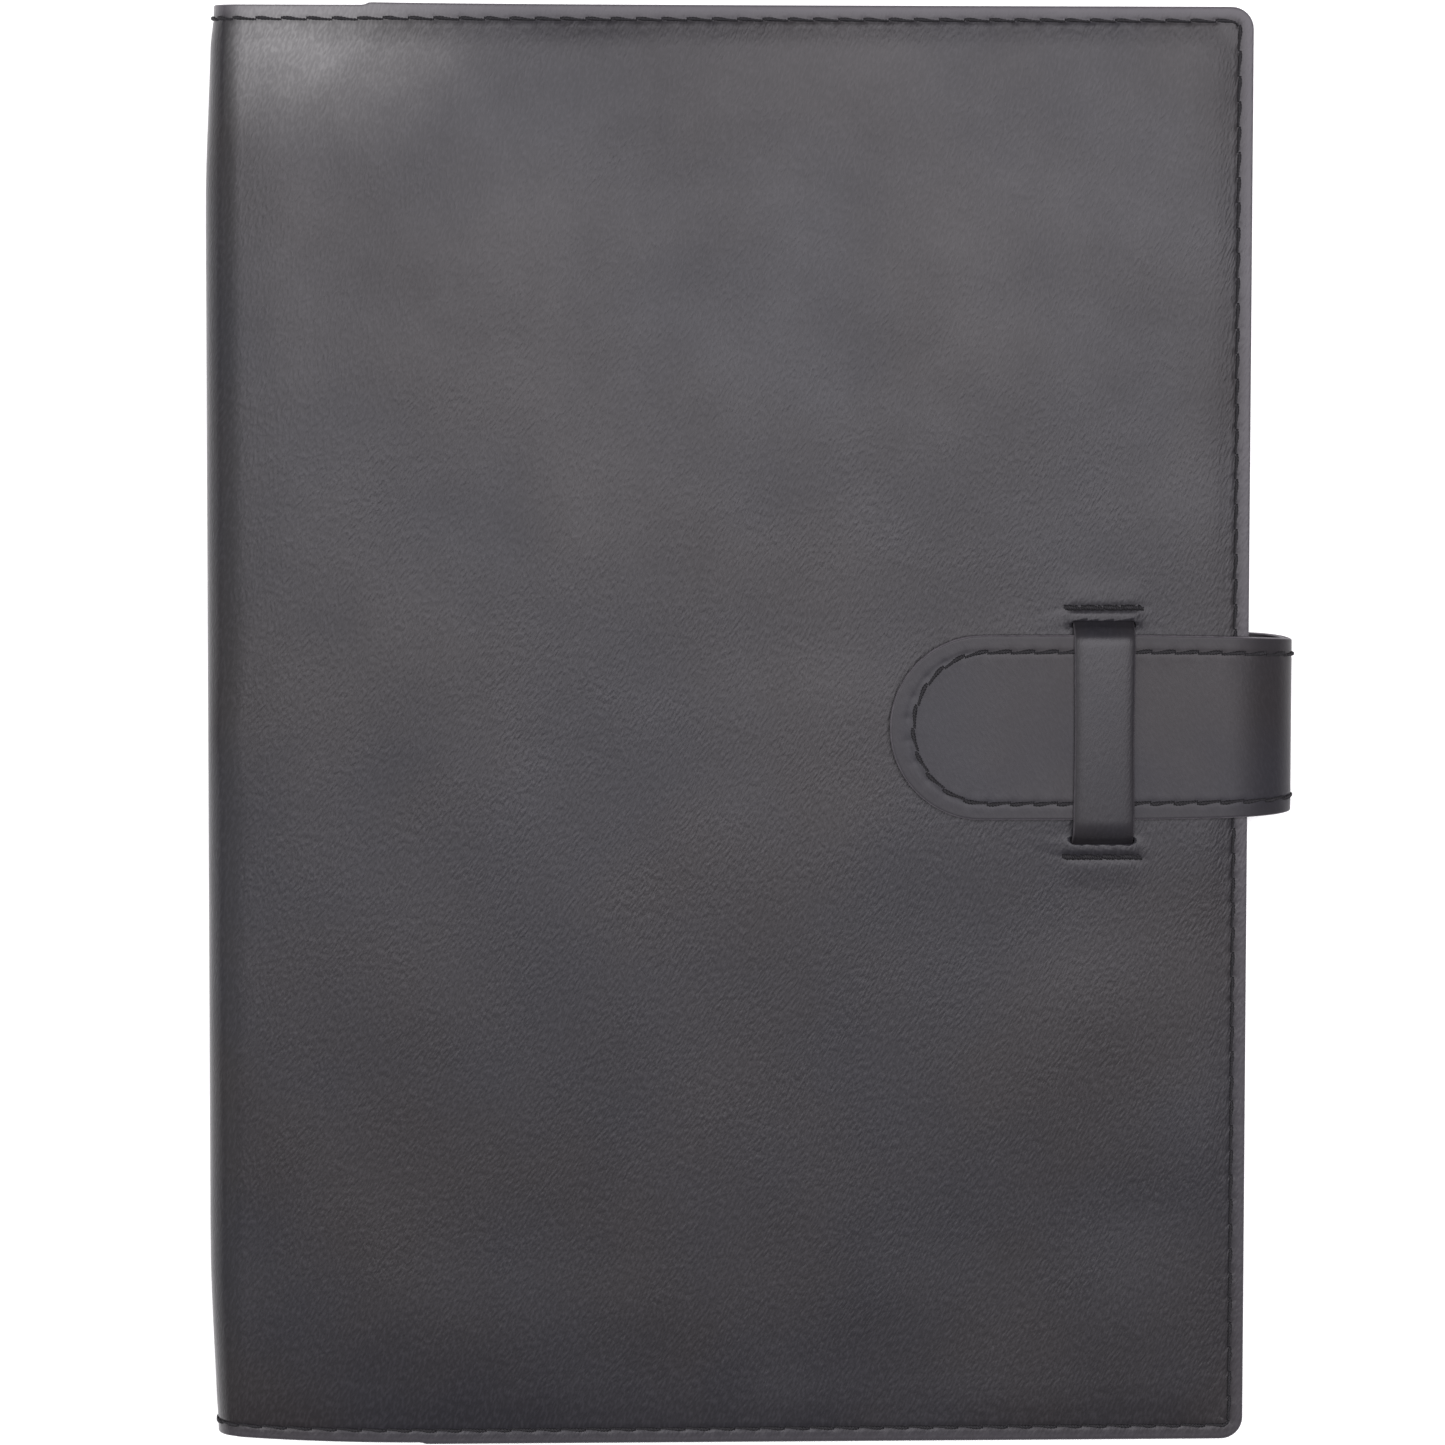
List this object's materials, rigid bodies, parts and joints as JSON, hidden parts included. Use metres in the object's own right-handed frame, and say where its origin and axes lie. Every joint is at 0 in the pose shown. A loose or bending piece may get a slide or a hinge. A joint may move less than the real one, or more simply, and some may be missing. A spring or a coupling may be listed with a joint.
{
  "type": "leather notebook cover",
  "caption": "Soft leather cover for a pocketed notebook refill, opening at a round spine, closed by a sewn strap whose tongue tucks under a loop on the front panel.",
  "frame": {"origin": "centre of the back panel's outer face, which lies on the table when the cover is closed", "axes": "+X from the spine to the fore edge, +Y from the tail to the head, +Z out of the front panel"},
  "size_m": [0.1678, 0.222, 0.0148],
  "materials": {
    "cover_leather": "dark grey full-grain leather, fine grain, semi-matt",
    "strap_leather": "dark grey smooth leather, matt",
    "pocket_leather": "dark grey thin leather, matt",
    "thread": "near-black twisted thread",
    "lining": "dark woven lining",
    "board": "grey board",
    "refill_card": "black pressed card",
    "paper": "ivory writing paper",
    "book_tape": "black bookbinding tape"
  },
  "bodies": {
    "back_cover": {"back_cover_leather": "cover_leather", "back_cover_board": "board", "back_cover_lining": "lining", "back_pocket": "pocket_leather", "back_cover_stitching": "thread", "refill_back_card": "refill_card", "refill_section_1": "paper", "refill_section_2": "paper", "refill_section_3": "paper", "refill_section_4": "paper", "refill_section_5": "paper", "refill_spine_tape": "book_tape", "strap_root_leather": "strap_leather", "strap_root_lining": "strap_leather", "strap_root_stitching_head": "thread", "strap_root_stitching_tail": "thread"},
    "spine": {"spine_leather": "cover_leather", "spine_lining": "lining", "refill_spine_card": "refill_card", "spine_stitching_head": "thread", "spine_stitching_tail": "thread"},
    "front_cover": {"front_cover_leather": "cover_leather", "front_cover_board": "board", "front_cover_lining": "lining", "front_pocket": "pocket_leather", "front_cover_stitching": "thread", "refill_front_card": "refill_card", "loop_band": "cover_leather", "loop_bartack_head": "thread", "loop_bartack_tail": "thread"},
    "strap_bend": {"strap_bend_leather": "strap_leather", "strap_bend_lining": "strap_leather", "strap_bend_stitching_head": "thread", "strap_bend_stitching_tail": "thread"},
    "strap_tongue": {"strap_tongue_leather": "strap_leather", "strap_tongue_lining": "strap_leather", "strap_tongue_stitching": "thread"}
  },
  "joints": [
    {"name": "spine_fold_back", "type": "hinge", "parent": "back_cover", "child": "spine", "pos_m": [-0.07872, 0, 0.00168], "axis": [0, -1, 0], "range_deg": [0, 90]},
    {"name": "spine_fold_front", "type": "hinge", "parent": "spine", "child": "front_cover", "pos_m": [-0.07872, 0, 0.01032], "axis": [0, -1, 0], "range_deg": [0, 90]},
    {"name": "strap_fold_back", "type": "hinge", "parent": "back_cover", "child": "strap_bend", "pos_m": [0.08558, 0, 0.00277], "axis": [0, 1, 0], "range_deg": [0, 90], "deforming": ["strap_bend_leather", "strap_bend_lining", "strap_bend_stitching_head", "strap_bend_stitching_tail"]},
    {"name": "strap_fold_front", "type": "hinge", "parent": "strap_bend", "child": "strap_tongue", "pos_m": [0.08558, 0, 0.01183], "axis": [0, 1, 0], "range_deg": [0, 90], "deforming": ["strap_tongue_leather", "strap_tongue_lining", "strap_tongue_stitching"]}
  ],
  "couplings": [
    {"joint": "spine_fold_front", "follows": "spine_fold_back", "ratio": 1},
    {"joint": "strap_fold_front", "follows": "strap_fold_back", "ratio": 1}
  ]
}
